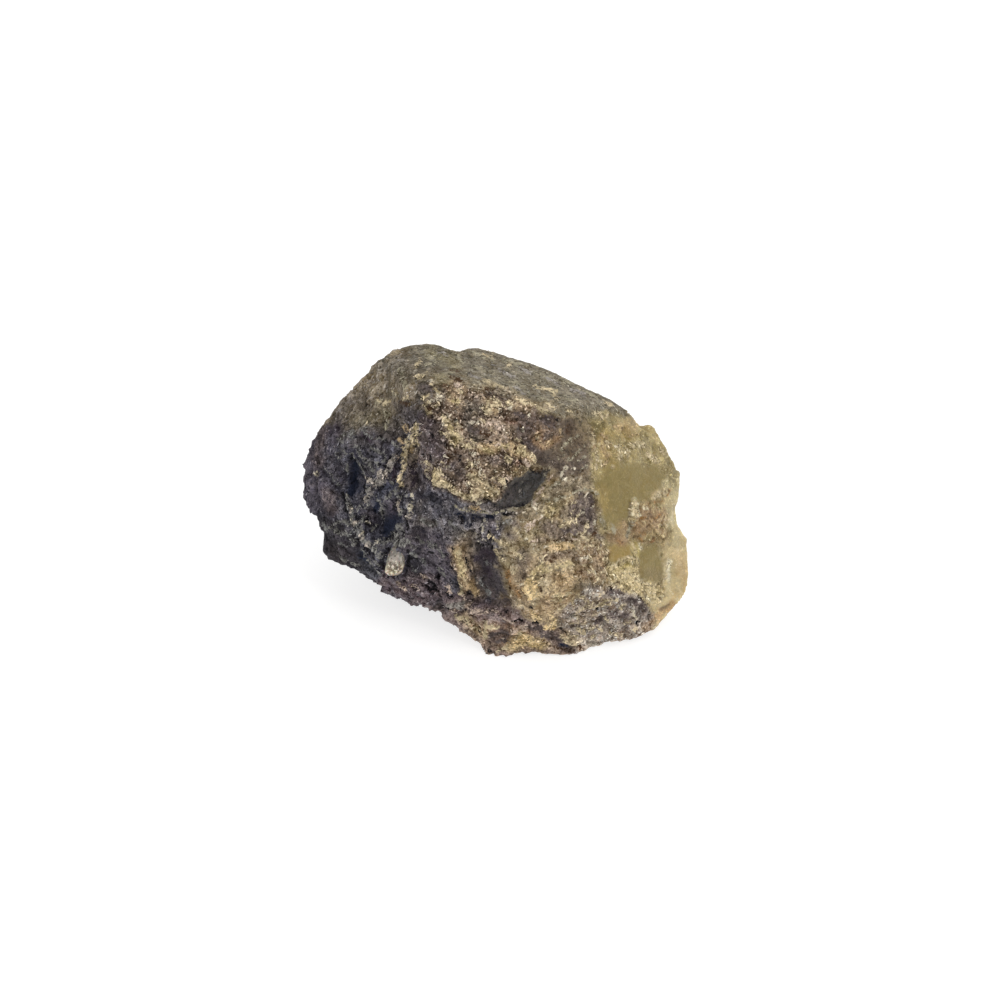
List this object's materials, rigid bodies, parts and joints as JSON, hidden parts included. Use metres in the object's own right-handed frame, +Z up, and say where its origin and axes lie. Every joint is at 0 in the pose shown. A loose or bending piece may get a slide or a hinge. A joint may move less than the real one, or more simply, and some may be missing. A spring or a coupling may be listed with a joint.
{
  "type": "rough tourmaline",
  "caption": "Rough broken lump of mineral rock, dark and grainy at one end and waxy olive at the other, that lies on a flat resting face.",
  "frame": {"origin": "on the flat resting face, under the middle of the stone's box", "axes": "+X along the stone's longest side, +Z up, the broad broken front faces -Y"},
  "size_m": [0.0503, 0.0344, 0.0347],
  "materials": {
    "rock": "broken rock, matt and grainy where dark, waxy and slightly translucent where olive",
    "tan_grain": "matt tan and cream grains standing out of the dark rock",
    "clear_crystal": "small milky clear crystal, glossy"
  },
  "bodies": {
    "root": {"rough_tourmaline": "rock"}
  },
  "joints": []
}
